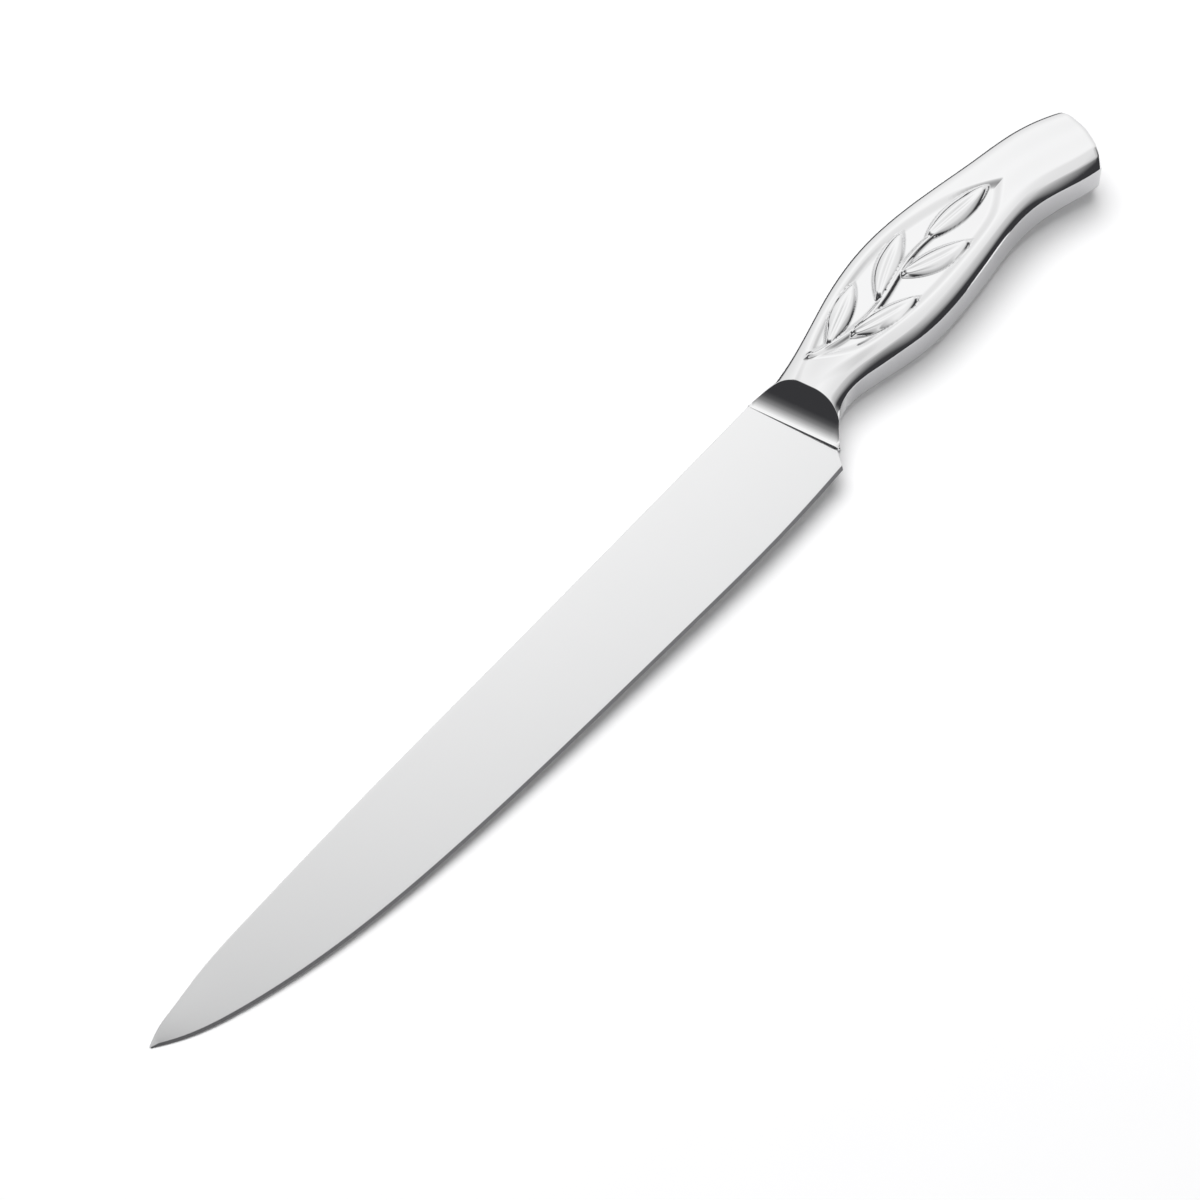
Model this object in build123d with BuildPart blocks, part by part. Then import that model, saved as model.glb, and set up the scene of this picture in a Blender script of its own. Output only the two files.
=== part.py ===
# Carving knife with a hollow polished steel handle, laid on its side.
# X runs from the tip to the butt, Y from the cutting edge to the spine, Z up across the thickness.
# The origin lies under the middle of the knife's box, and the blade's mid-plane is level.
import os
from math import atan2, cos, pi, sin, tan

from build123d import *

os.makedirs("parts", exist_ok=True)

# Overall
overall_length = 347.4       # tip to the furthest point of the butt
blade_length = 228.0         # tip to heel corner, along X
blade_height = 30.4          # straight spine to the lowest point of the cutting edge
crest_rise = 7.6             # handle's highest point above the straight spine
belly_drop = 22.1            # handle's belly below the straight spine
handle_thickness = 16.0

# Blade
spine_thickness = 2.4        # at the seam with the nose block
spine_taper = 0.0045         # thickness that the spine loses per millimetre towards the tip
shoulder_thickness = 0.24    # where the grind meets the edge bevel, at the front of the flats
bevel_height = 0.9
seam_height = 24.6           # seam between blade and nose block, across the blade
seam_lean = 4.9              # the seam leans back by this much from spine to belly
heel_run = 3.7               # heel corner to the seam's foot, along X
heel_rise = 5.1

# Tang
tang_length = 68.0           # from the top of the seam
tang_root_width = 13.0
tang_end_width = 9.0
tang_thickness = 2.4
tang_root_drop = 8.6         # centre line below the straight spine, at the seam
tang_end_drop = 7.4
tang_end_rounding = 3.0

# Nose block
nose_length = 13.0           # seam to the joint with the shells, square to the seam
nose_face_thickness = 2.5    # where it meets the blade
scallop_radius = 13.5
spigot_length = 4.0          # register inside the shells' mouth

# Shells
shell_wall = 1.8
side_rounding = 4.2
belly_slope_width = 6.5      # sloping faces that make the belly side slimmer, where they are widest
belly_slope_drop = 4.5
belly_slope_rounding = 3.4
belly_bend_share = 0.0293    # most that rounding may be, of the handle's length, at the belly's bends
butt_rounding = 2.0
butt_corner_share = 0.82     # most that rounding may be, of the belly edges' rounding
carving_depth = 1.0          # sunk ground round the leaves on each face
weld_gap = 0.05              # clearance of every soldered or welded fit

# Tang pins and the bosses that hold them
pin_diameter = 4.0
pin_length = 10.4
pin_end_chamfer = 0.3
pin_clearance = 0.05
boss_diameter = 8.0
boss_gap = 1.2               # between a boss's end and the tang
pin_place_shares = [0.40, 0.81]   # of tang_length, behind the top of the seam

# Resin bed
potting_tail = 6.0           # resin past the end of the tang

cut_overrun = 20.0           # how far every cutting shape passes the piece it cuts

# Blade's front, where its faces curve in to the tip. Shares of blade_length, blade_height,
# blade_height and spine_thickness: place, spine below its straight line, edge below that line,
# thickness at the spine
tip_station_shares = [
    (0.000, 0.158, 0.178, 0.15),
    (0.022, 0.102, 0.286, 0.36),
    (0.044, 0.077, 0.372, 0.45),
    (0.088, 0.033, 0.493, 0.52),
    (0.175, 0.000, 0.658, 0.60),
    (0.351, -0.016, 0.837, 0.71),
]
# Blade's back, where each face is one flat: place, spine and edge as above
flat_station_shares = [
    (0.548, -0.008, 0.923),
    (0.746, 0.000, 0.977),
    (0.899, 0.002, 1.000),
    (1.030, 0.003, 0.965),
]
tip_bevel_share = 0.33       # most of the height that the bevel takes near the tip
tip_shoulder_share = 0.8     # most of the spine's thickness that the shoulder takes there

# Handle stations, as shares of its length, crest_rise, belly_drop, handle_thickness and the belly
# slopes: place, spine side above the straight spine, belly side below it, thickness, slopes' size
handle_station_shares = [
    (-0.012, 0.000, 1.480, 0.665, 0.60),
    (0.035, -0.048, 1.172, 0.719, 0.61),
    (0.076, -0.024, 0.966, 0.769, 0.64),
    (0.109, 0.030, 0.851, 0.810, 0.70),
    (0.150, 0.135, 0.805, 0.860, 0.80),
    (0.195, 0.292, 0.828, 0.910, 0.91),
    (0.241, 0.480, 0.886, 0.950, 0.97),
    (0.291, 0.680, 0.957, 0.977, 1.00),
    (0.341, 0.838, 1.015, 0.990, 1.03),
    (0.398, 0.956, 1.048, 0.996, 1.05),
    (0.458, 1.000, 1.052, 0.999, 1.04),
    (0.500, 0.980, 1.038, 1.000, 0.98),
    (0.550, 0.910, 1.012, 0.999, 0.88),
    (0.605, 0.790, 0.974, 0.996, 0.76),
    (0.660, 0.643, 0.933, 0.991, 0.68),
    (0.721, 0.470, 0.913, 0.983, 0.65),
    (0.770, 0.340, 0.936, 0.976, 0.72),
    (0.820, 0.220, 0.989, 0.968, 0.85),
    (0.886, 0.010, 1.082, 0.958, 0.98),
    (0.952, -0.350, 1.158, 0.949, 1.00),
    (1.035, -1.050, 1.195, 0.940, 1.00),
]
# Butt seen from above: shares of the handle's length, then of belly_drop down
butt_shares = [(0.9995, 0.204), (0.9925, 0.638), (0.949, 1.158)]

# Sunk panel on each face, as shares of the handle's length, and of belly_drop below the straight
# spine: its spine side from front to rear point, then its belly side
panel_upper_shares = [
    (0.148, 0.190),
    (0.194, 0.109),
    (0.265, 0.005),
    (0.381, -0.095),
    (0.497, -0.095),
    (0.596, 0.005),
    (0.682, 0.158),
    (0.755, 0.389),
]
panel_lower_shares = [
    (0.755, 0.389),
    (0.682, 0.597),
    (0.596, 0.688),
    (0.497, 0.729),
    (0.381, 0.719),
    (0.265, 0.624),
    (0.194, 0.425),
    (0.148, 0.190),
]
# Leaves that stand in the panel: foot and point as above, then how far the leaf's left and right
# sides bulge, as shares of its length
leaf_shares = [
    ((0.182, 0.290), (0.356, -0.025), 0.085, 0.125),
    ((0.231, 0.371), (0.418, 0.665), 0.085, 0.105),
    ((0.339, 0.362), (0.524, -0.030), 0.145, 0.085),
    ((0.418, 0.299), (0.600, 0.635), 0.080, 0.145),
    ((0.526, 0.235), (0.729, 0.344), 0.120, 0.100),
]

# Places worked out from the sizes
tip_x = -overall_length / 2
spine_y = (blade_height - crest_rise) / 2
middle_z = handle_thickness / 2
seam_x = tip_x + blade_length + heel_run - seam_lean
handle_length = overall_length / 2 - seam_x
bend_scale = min(1, handle_length * belly_bend_share / belly_slope_rounding)
seam_top = (seam_x, spine_y)
seam_foot = (seam_x + seam_lean, spine_y - seam_height)
seam_angle = atan2(seam_lean, seam_height)
seam_down = Vector(sin(seam_angle), -cos(seam_angle), 0)
seam_back = Vector(cos(seam_angle), sin(seam_angle), 0)
seam_origin = Vector(seam_x, spine_y, middle_z)
middle_plane = Plane.XY.offset(middle_z)
seam_plane = Plane(origin=seam_origin, x_dir=seam_down, z_dir=seam_back)
joint_plane = seam_plane.offset(nose_length)
spigot_end_plane = joint_plane.offset(spigot_length)
potting_end_plane = Plane.YZ.offset(seam_x + tang_length + potting_tail)
boss_foot = tang_thickness / 2 + boss_gap
belly_slope_angle = atan2(belly_slope_drop, belly_slope_width)
flat_place, flat_spine_drop, flat_edge_drop = flat_station_shares[0]
flat_spine_half = (spine_thickness - spine_taper * (seam_x - tip_x - flat_place * blade_length)) / 2
flat_shoulder_drop = flat_edge_drop * blade_height - bevel_height
grind_slope = (flat_spine_half - shoulder_thickness / 2) / flat_shoulder_drop


def tang_centre(setback):
    """Point of the tang's centre line at a distance behind the top of the seam."""
    drop = tang_root_drop + (tang_end_drop - tang_root_drop) * setback / tang_length
    return (seam_x + setback, spine_y - drop)


def seam_point(drop):
    """Point of the seam at a distance below the straight spine."""
    return (seam_x + seam_lean * drop / seam_height, spine_y - drop)


pin_places = [tang_centre(share * tang_length) for share in pin_place_shares]


def tang_form(clearance):
    """The tang with the same clearance on all sides, from the seam backwards."""
    half_root = tang_root_width / 2 + clearance
    half_end = tang_end_width / 2 + clearance
    end_x, end_y = tang_centre(tang_length)
    with BuildPart() as form:
        with BuildSketch(middle_plane) as profile:
            with BuildLine():
                Polyline(
                    seam_point(tang_root_drop - half_root),
                    (end_x + clearance, end_y + half_end),
                    (end_x + clearance, end_y - half_end),
                    seam_point(tang_root_drop + half_root),
                    close=True,
                )
            make_face()
            fillet(profile.vertices().sort_by(Axis.X)[-2:], tang_end_rounding)
        extrude(amount=tang_thickness / 2 + clearance, both=True)
    return form.part


def flat_half_thickness(x, drop):
    """Half the blade's thickness on its flats, at a distance below the straight spine."""
    return (spine_thickness - spine_taper * (seam_x - x)) / 2 - grind_slope * drop


def blade_section(x, drops, half_spine, half_shoulder):
    """Corners of the blade's section: its spine, then down the front and up the back."""
    spine_drop, shoulder_drop, edge_drop = drops
    return [
        Vector(x, spine_y - spine_drop, middle_z - half_spine),
        Vector(x, spine_y - spine_drop, middle_z + half_spine),
        Vector(x, spine_y - shoulder_drop, middle_z + half_shoulder),
        Vector(x, spine_y - edge_drop, middle_z),
        Vector(x, spine_y - shoulder_drop, middle_z - half_shoulder),
    ]


def strips(lines):
    """Ruled faces from each line to the next, all round a form."""
    neighbours = lines[1:] + lines[:1]
    return [Face.make_surface_from_curves(line, other) for line, other in zip(lines, neighbours)]


def flat_face(line, other):
    """Plane face between two lines that lie in one plane."""
    start = Edge.make_line(line @ 0, other @ 0)
    end = Edge.make_line(line @ 1, other @ 1)
    return Face(Wire([line, end, other, start]))


def blade_form():
    """The ground blade without its tang: strips that curve in to the tip, then the flats."""
    tip_sections = []
    for along, spine_share, edge_share, thickness in tip_station_shares:
        spine_drop = spine_share * blade_height
        edge_drop = edge_share * blade_height
        bevel = min(bevel_height, tip_bevel_share * (edge_drop - spine_drop))
        drops = (spine_drop, edge_drop - bevel, edge_drop)
        half_spine = thickness * spine_thickness / 2
        half_shoulder = min(shoulder_thickness / 2, tip_shoulder_share * half_spine)
        x = tip_x + along * blade_length
        tip_sections.append(blade_section(x, drops, half_spine, half_shoulder))
    flat_sections = []
    for along, spine_share, edge_share in flat_station_shares:
        edge_drop = edge_share * blade_height
        drops = (spine_share * blade_height, edge_drop - bevel_height, edge_drop)
        x = tip_x + along * blade_length
        half_spine, half_shoulder = [flat_half_thickness(x, drop) for drop in drops[:2]]
        flat_sections.append(blade_section(x, drops, half_spine, half_shoulder))
    flat_lines = [Edge.make_spline(list(line)) for line in zip(*flat_sections)]
    tip_lines = []
    for line, flat_line in zip(zip(*tip_sections), flat_lines):
        points = list(line) + [flat_line @ 0]
        tangents = [(points[1] - points[0]).normalized(), flat_line % 0]
        tip_lines.append(Edge.make_spline(points, tangents=tangents, scale=False))
    spine_back, spine_front, shoulder_front, edge, shoulder_back = flat_lines
    faces = strips(tip_lines)
    faces += [
        Face.make_surface_from_curves(spine_back, spine_front),
        flat_face(spine_front, shoulder_front),
        Face.make_surface_from_curves(shoulder_front, edge),
        Face.make_surface_from_curves(edge, shoulder_back),
        flat_face(shoulder_back, spine_back),
        Face(Wire.make_polygon(tip_sections[0])),
        Face(Wire.make_polygon(flat_sections[-1])),
    ]
    return Solid(Shell(faces))


def handle_form(inset):
    """The whole handle's outer form, or the same form at a distance inside it."""
    belly_edge_rounding = bend_scale * (belly_slope_rounding - inset / 2)
    butt_edge_rounding = min(butt_rounding, belly_edge_rounding * butt_corner_share)
    width_inset = inset * (1 - tan(belly_slope_angle / 2))
    drop_inset = inset * (1 - tan(pi / 4 - belly_slope_angle / 2))
    sections = []
    for along, rise, drop, thickness, slope in handle_station_shares:
        x = seam_x + along * handle_length
        spine_side_y = spine_y + rise * crest_rise - inset
        belly_side_y = spine_y - drop * belly_drop + inset
        slope_y = belly_side_y + slope * belly_slope_width - width_inset
        half_thickness = thickness * handle_thickness / 2 - inset
        half_side = half_thickness - slope * belly_slope_drop + drop_inset
        sections.append([
            Vector(x, spine_side_y, middle_z + half_thickness),
            Vector(x, slope_y, middle_z + half_thickness),
            Vector(x, belly_side_y, middle_z + half_side),
            Vector(x, belly_side_y, middle_z - half_side),
            Vector(x, slope_y, middle_z - half_thickness),
            Vector(x, spine_side_y, middle_z - half_thickness),
        ])
    faces = strips([Edge.make_spline(list(line)) for line in zip(*sections)])
    faces += [Face(Wire.make_polygon(sections[0])), Face(Wire.make_polygon(sections[-1]))]
    butt = [
        (seam_x + along * handle_length - inset, spine_y - drop * belly_drop)
        for along, drop in butt_shares
    ]
    with BuildPart() as form:
        add(Solid(Shell(faces)))
        long_edges = form.edges().filter_by(lambda edge: edge.length > handle_length / 2)
        spine_edges = long_edges.sort_by(lambda edge: (edge @ 0.5).Y)[-2:]
        fillet(spine_edges, side_rounding - inset)
        long_edges = form.edges().filter_by(lambda edge: edge.length > handle_length / 2)
        fillet(long_edges.sort_by(lambda edge: (edge @ 0.5).Y)[:4], belly_edge_rounding)
        with BuildSketch(middle_plane):
            with BuildLine():
                ThreePointArc(*butt)
                Polyline(
                    butt[2],
                    (butt[2][0], butt[2][1] - cut_overrun),
                    (butt[0][0] + cut_overrun, butt[2][1] - cut_overrun),
                    (butt[0][0] + cut_overrun, butt[0][1] + cut_overrun),
                    (butt[0][0], butt[0][1] + cut_overrun),
                    butt[0],
                )
            make_face()
        extrude(amount=handle_thickness, both=True, mode=Mode.SUBTRACT)
        fillet(form.faces().sort_by(Axis.X)[-1].edges(), butt_edge_rounding)
    return form.part


def face_point(along, drop):
    """Place on the handle's face, from shares of its length and of belly_drop."""
    return Vector(seam_x + along * handle_length, spine_y - drop * belly_drop)


def carving_form():
    """What is cut away on the front face: the panel down to its ground, but for the leaves."""
    down = -carving_depth - belly_slope_drop
    with BuildPart() as carving:
        with BuildSketch(Plane.XY.offset(handle_thickness)):
            with BuildLine():
                for side in (panel_upper_shares, panel_lower_shares):
                    Spline(*[face_point(*point) for point in side])
            make_face()
        extrude(amount=down)
        for foot_share, point_share, left, right in leaf_shares:
            foot, point = face_point(*foot_share), face_point(*point_share)
            along = point - foot
            across = Vector(-along.Y, along.X, 0)
            middle = (foot + point) / 2
            with BuildSketch(Plane.XY.offset(handle_thickness)):
                with BuildLine():
                    ThreePointArc(foot, middle + across * left, point)
                    ThreePointArc(point, middle - across * right, foot)
                make_face()
            extrude(amount=down, mode=Mode.SUBTRACT)
        add(handle_form(carving_depth), mode=Mode.SUBTRACT)
    return carving.part


# Blade: ground plate cut at the heel and along the seam, with its tang
with BuildPart() as blade:
    add(blade_form())
    overrun_share = cut_overrun / heel_rise
    with BuildSketch(middle_plane):
        with BuildLine():
            Polyline(
                (seam_foot[0] - overrun_share * heel_run, seam_foot[1] - cut_overrun),
                seam_foot,
                seam_top,
                (seam_top[0] - seam_lean * cut_overrun / seam_height, seam_top[1] + cut_overrun),
                (seam_foot[0] + cut_overrun, seam_top[1] + cut_overrun),
                (seam_foot[0] + cut_overrun, seam_foot[1] - cut_overrun),
                close=True,
            )
        make_face()
    extrude(amount=spine_thickness, both=True, mode=Mode.SUBTRACT)
    add(tang_form(0))
    with BuildSketch(middle_plane):
        with Locations(*pin_places):
            Circle(pin_diameter / 2 + pin_clearance)
    extrude(amount=tang_thickness, both=True, mode=Mode.SUBTRACT)
blade.part.label = "blade"
export_step(blade.part, "parts/blade.step")

# Register spigot behind the nose block, inside the shells' mouth
with BuildPart() as spigot:
    add(handle_form(shell_wall + weld_gap))
    split(bisect_by=joint_plane, keep=Keep.TOP)
    split(bisect_by=spigot_end_plane, keep=Keep.BOTTOM)

# Nose block from the seam to the joint: scalloped on both faces and slotted for the tang
with BuildPart() as bolster:
    add(handle_form(0))
    split(bisect_by=seam_plane, keep=Keep.TOP)
    split(bisect_by=joint_plane, keep=Keep.BOTTOM)
    add(spigot.part)
    with BuildSketch(Plane(origin=seam_origin, x_dir=seam_back, z_dir=seam_down)):
        with Locations(
            (0, nose_face_thickness / 2 + scallop_radius),
            (0, -nose_face_thickness / 2 - scallop_radius),
        ):
            Circle(scallop_radius)
    extrude(amount=blade_height + cut_overrun, both=True, mode=Mode.SUBTRACT)
    add(tang_form(weld_gap), mode=Mode.SUBTRACT)
bolster.part.label = "bolster"
export_step(bolster.part, "parts/bolster.step")

# Front shell: half of the hollow handle, with a bored boss over each tang pin
with BuildPart() as handle_front_shell:
    add(handle_form(0))
    split(bisect_by=joint_plane, keep=Keep.TOP)
    add(handle_form(shell_wall), mode=Mode.SUBTRACT)
    split(bisect_by=middle_plane, keep=Keep.TOP)
    with BuildSketch(middle_plane.offset(boss_foot)):
        with Locations(*pin_places):
            Circle(boss_diameter / 2)
    extrude(amount=middle_z - shell_wall / 2 - boss_foot)
    with BuildSketch(middle_plane):
        with Locations(*pin_places):
            Circle(pin_diameter / 2 + pin_clearance)
    extrude(amount=pin_length / 2 + pin_clearance, mode=Mode.SUBTRACT)
    add(carving_form(), mode=Mode.SUBTRACT)
handle_front_shell.part.label = "handle_front_shell"
export_step(handle_front_shell.part, "parts/handle_front_shell.step")

# Back shell: the same half turned over
with BuildPart() as handle_back_shell:
    add(handle_front_shell.part)
    mirror(about=middle_plane, mode=Mode.REPLACE)
handle_back_shell.part.label = "handle_back_shell"
export_step(handle_back_shell.part, "parts/handle_back_shell.step")

# Tang pins
pin_names = ["tang_pin_front", "tang_pin_rear"]
for pin_name, place in zip(pin_names, pin_places):
    with BuildPart() as tang_pin:
        with BuildSketch(middle_plane):
            with Locations(place):
                Circle(pin_diameter / 2)
        extrude(amount=pin_length / 2, both=True)
        chamfer(tang_pin.edges().filter_by(GeomType.CIRCLE), pin_end_chamfer)
    tang_pin.part.label = pin_name
    export_step(tang_pin.part, f"parts/{pin_name}.step")

# Resin bed round the tang, its pins and their bosses
with BuildPart() as tang_potting:
    add(handle_form(shell_wall))
    split(bisect_by=spigot_end_plane, keep=Keep.TOP)
    split(bisect_by=potting_end_plane, keep=Keep.BOTTOM)
    add(tang_form(0), mode=Mode.SUBTRACT)
    with BuildSketch(middle_plane):
        with Locations(*pin_places):
            Circle(pin_diameter / 2 + pin_clearance)
    extrude(amount=middle_z, both=True, mode=Mode.SUBTRACT)
    for side in (1, -1):
        with BuildSketch(middle_plane.offset(side * boss_foot)):
            with Locations(*pin_places):
                Circle(boss_diameter / 2)
        extrude(amount=side * middle_z, mode=Mode.SUBTRACT)
tang_potting.part.label = "tang_potting"
export_step(tang_potting.part, "parts/tang_potting.step")
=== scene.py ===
# Carving knife lying on its side on a pale table: satin blade, polished steel handle with a carved sprig.
# Shapes are worked out in millimetres in the row frame and written to the meshes in metres.
import math

import bmesh
import bpy
import numpy as np
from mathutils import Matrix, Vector


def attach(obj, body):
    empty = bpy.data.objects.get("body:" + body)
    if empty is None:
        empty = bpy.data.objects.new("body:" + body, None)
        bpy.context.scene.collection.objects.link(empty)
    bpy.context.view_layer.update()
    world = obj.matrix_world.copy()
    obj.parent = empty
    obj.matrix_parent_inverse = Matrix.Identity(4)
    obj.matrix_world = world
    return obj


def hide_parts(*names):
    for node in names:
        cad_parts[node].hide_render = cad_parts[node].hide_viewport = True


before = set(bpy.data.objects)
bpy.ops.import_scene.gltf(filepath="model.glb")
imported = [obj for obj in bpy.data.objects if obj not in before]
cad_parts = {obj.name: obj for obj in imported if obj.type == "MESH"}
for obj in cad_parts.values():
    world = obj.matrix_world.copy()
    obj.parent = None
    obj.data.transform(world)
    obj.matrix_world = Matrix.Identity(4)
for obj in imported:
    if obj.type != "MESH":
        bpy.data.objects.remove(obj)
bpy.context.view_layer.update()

mm = 0.001
weldDistance = 2e-7      # in metres, as the next
flatDistance = 1e-8
scene = bpy.context.scene
print("frame loaded:", ", ".join(sorted(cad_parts)))


# Camera, where the photograph's camera stands

cameraView = {
    "place": (-446.4, -361.0, 987.6),
    "target": (-14.26, 3.9, 8.0),
    "lens": 138.0,
    "sensor": 36.0,
}

cameraData = bpy.data.cameras.new("viewCamera")
cameraData.lens = cameraView["lens"]
cameraData.sensor_width = cameraView["sensor"]
cameraData.clip_end = 100
viewCamera = bpy.data.objects.new("viewCamera", cameraData)
scene.collection.objects.link(viewCamera)
viewCamera.location = Vector(cameraView["place"]) * mm
viewLine = (Vector(cameraView["target"]) - Vector(cameraView["place"])).normalized()
viewCamera.rotation_euler = viewLine.to_track_quat("-Z", "Y").to_euler()
scene.camera = viewCamera
print("camera set")


# Shader maths as Python expressions

class Socket:
    def __init__(self, tree, output):
        self.tree = tree
        self.output = output

    def node(self, kind, settings=None, **inputs):
        return addNode(self.tree, kind, settings, **inputs)

    def maths(self, operation, first, second=0.0):
        return addNode(self.tree, "ShaderNodeMath", {"operation": operation}, _0=first, _1=second)

    def __add__(self, other):
        return self.maths("ADD", self, other)

    def __radd__(self, other):
        return self.maths("ADD", other, self)

    def __sub__(self, other):
        return self.maths("SUBTRACT", self, other)

    def __rsub__(self, other):
        return self.maths("SUBTRACT", other, self)

    def __mul__(self, other):
        return self.maths("MULTIPLY", self, other)

    def __rmul__(self, other):
        return self.maths("MULTIPLY", other, self)

    def __truediv__(self, other):
        return self.maths("DIVIDE", self, other)

    def __rtruediv__(self, other):
        return self.maths("DIVIDE", other, self)


def addNode(tree, kind, settings=None, **inputs):
    # an input is named as on the node, with _ for a blank, or by its number as _0, _1 and so on
    node = tree.nodes.new(kind)
    output = 0
    for name, value in (settings or {}).items():
        if name == "output":
            output = value
        else:
            setattr(node, name, value)
    for name, value in inputs.items():
        key = int(name[1:]) if name[0] == "_" and name[1:].isdigit() else name.replace("_", " ")
        socket = node.inputs[key]
        if isinstance(value, Socket):
            tree.links.new(value.output, socket)
        else:
            socket.default_value = value
    return Socket(tree, node.outputs[output])


def newMaterial(name, uniform):
    # uniform holds the values that are the same all over; they go on the shader's own sockets
    material = bpy.data.materials.new(name)
    material.use_nodes = True
    tree = material.node_tree
    shader = tree.nodes["Principled BSDF"]
    for socketName, value in uniform.items():
        shader.inputs[socketName].default_value = value
    return material, tree, shader


def objectPlace(tree):
    return addNode(tree, "ShaderNodeTexCoord", {"output": "Object"})


def stretched(place, scale, turn=(0, 0, 0)):
    return place.node("ShaderNodeMapping", None, Vector=place, Rotation=turn, Scale=scale)


def noise(place, scale, detail=2.0, roughness=0.5):
    return place.node("ShaderNodeTexNoise", {"output": "Fac"}, Vector=place,
                      Scale=scale, Detail=detail, Roughness=roughness)


def bumpFrom(height, depth, strength=1.0):
    return height.node("ShaderNodeBump", None, Strength=strength, Distance=depth, Height=height)


def mixColour(factor, first, second):
    tree = factor.tree
    node = tree.nodes.new("ShaderNodeMix")
    node.data_type = "RGBA"
    tree.links.new(factor.output, node.inputs["Factor"])
    for socket, value in ((node.inputs[6], first), (node.inputs[7], second)):    # the colour sockets, A and B
        if isinstance(value, Socket):
            tree.links.new(value.output, socket)
        else:
            socket.default_value = tuple(value) + (1.0,)
    return Socket(tree, node.outputs[2])


def feed(shader, name, value):
    value.tree.links.new(value.output, shader.inputs[name])


# Materials

satin = {                                   # the blade's flats
    "bright": (0.930, 0.931, 0.934),
    "edgewardShade": (0.835, 0.837, 0.842),          # painted shade, darker towards the cutting edge
    "fadeHeight": 0.031,                    # metres across the blade from the painted shade to bright
    "fadeStart": 0.61,
    "fadeShare": 0.70,                      # these three shares make up the tone
    "lineShare": 0.14,
    "cloudShare": 0.16,
    "cloudScale": 28.0,
    "roughness": 0.235,
    "roughnessSpread": 0.05,
    "lineScale": (5200.0, 60.0, 400.0),     # fine grinding lines run from spine to edge
    "lineDepth": 0.0000012,
}
groundEdgeShaded = {                              # the bevel along its edge; its dark colours are painted reflection and shade, its lines and roughness the grind's own
    "bright": (0.30, 0.30, 0.31),
    "dark": (0.12, 0.12, 0.125),
    "roughness": 0.34,
    "lineScale": (9000.0, 300.0, 300.0),
    "lineDepth": 0.000006,
}
polish = {                                  # nose block and shells
    "bright": (0.930, 0.930, 0.934),
    "cloudy": (0.900, 0.901, 0.906),
    "cloudScale": 60.0,
    "roughness": 0.055,
    "roughnessSpread": 0.06,
    "hairlineScale": (260.0, 3800.0, 2600.0),
    "hairlineTurn": (0, 0, 0.35),
    "hairlineMean": 0.45,
    "hairlineDepth": 0.0000015,
    "hairlineStrength": 0.6,
    "brushedAndShaded": (0.56, 0.56, 0.57),          # sides: colour darkened as painted shade, brushed where the welded joint is ground flush
    "brushedRoughness": 0.10,               # added there
    "hollowShade": (0.10, 0.10, 0.105),         # painted shade in the carving's hollows and beside its raised edges
    "hollowShadeFrom": 0.25,
    "hollowShadeFull": 0.95,
    "hollowShadeSpread": 0.2,
    "hollowRoughness": 0.22,               # added there
}
turnedSteel = {                             # the tang's pins
    "colour": (0.72, 0.72, 0.73),
    "lineScale": (300.0, 300.0, 6000.0),
    "roughness": 0.22,
    "roughnessSpread": 0.15,
}
resinLook = {                               # what beds the tang
    "pale": (0.56, 0.52, 0.42),
    "deep": (0.46, 0.42, 0.33),
    "cloudScale": 180.0,
    "roughness": 0.45,
    "grainScale": 900.0,
    "grainDepth": 0.00008,
    "grainStrength": 0.4,
}


def bladeSteel():
    material, tree, shader = newMaterial("bladeSteel", {"Metallic": 1.0})
    place = objectPlace(tree)
    lines = noise(stretched(place, satin["lineScale"]), 1.0, detail=3.0, roughness=0.6)
    cloud = noise(place, satin["cloudScale"], detail=3.0)
    # painted shade: the flats' tone darkens from the spine towards the cutting edge
    upward = place.node("ShaderNodeSeparateXYZ", {"output": "Y"}, Vector=place)
    fade = upward / satin["fadeHeight"] + satin["fadeStart"]
    tone = fade * satin["fadeShare"] + lines * satin["lineShare"] + cloud * satin["cloudShare"]
    feed(shader, "Base Color", mixColour(tone, satin["edgewardShade"], satin["bright"]))
    feed(shader, "Roughness", (lines - 0.5) * satin["roughnessSpread"] + satin["roughness"])
    feed(shader, "Normal", bumpFrom(lines, satin["lineDepth"]))
    return material


def edgeSteelShaded():
    material, tree, shader = newMaterial("edgeSteelShaded", {"Metallic": 1.0, "Roughness": groundEdgeShaded["roughness"]})
    place = objectPlace(tree)
    lines = noise(stretched(place, groundEdgeShaded["lineScale"]), 1.0, detail=3.0, roughness=0.7)
    # painted dark reflection: the bevel's colours stand far below steel's
    feed(shader, "Base Color", mixColour(lines, groundEdgeShaded["dark"], groundEdgeShaded["bright"]))
    feed(shader, "Normal", bumpFrom(lines, groundEdgeShaded["lineDepth"]))
    return material


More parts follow.
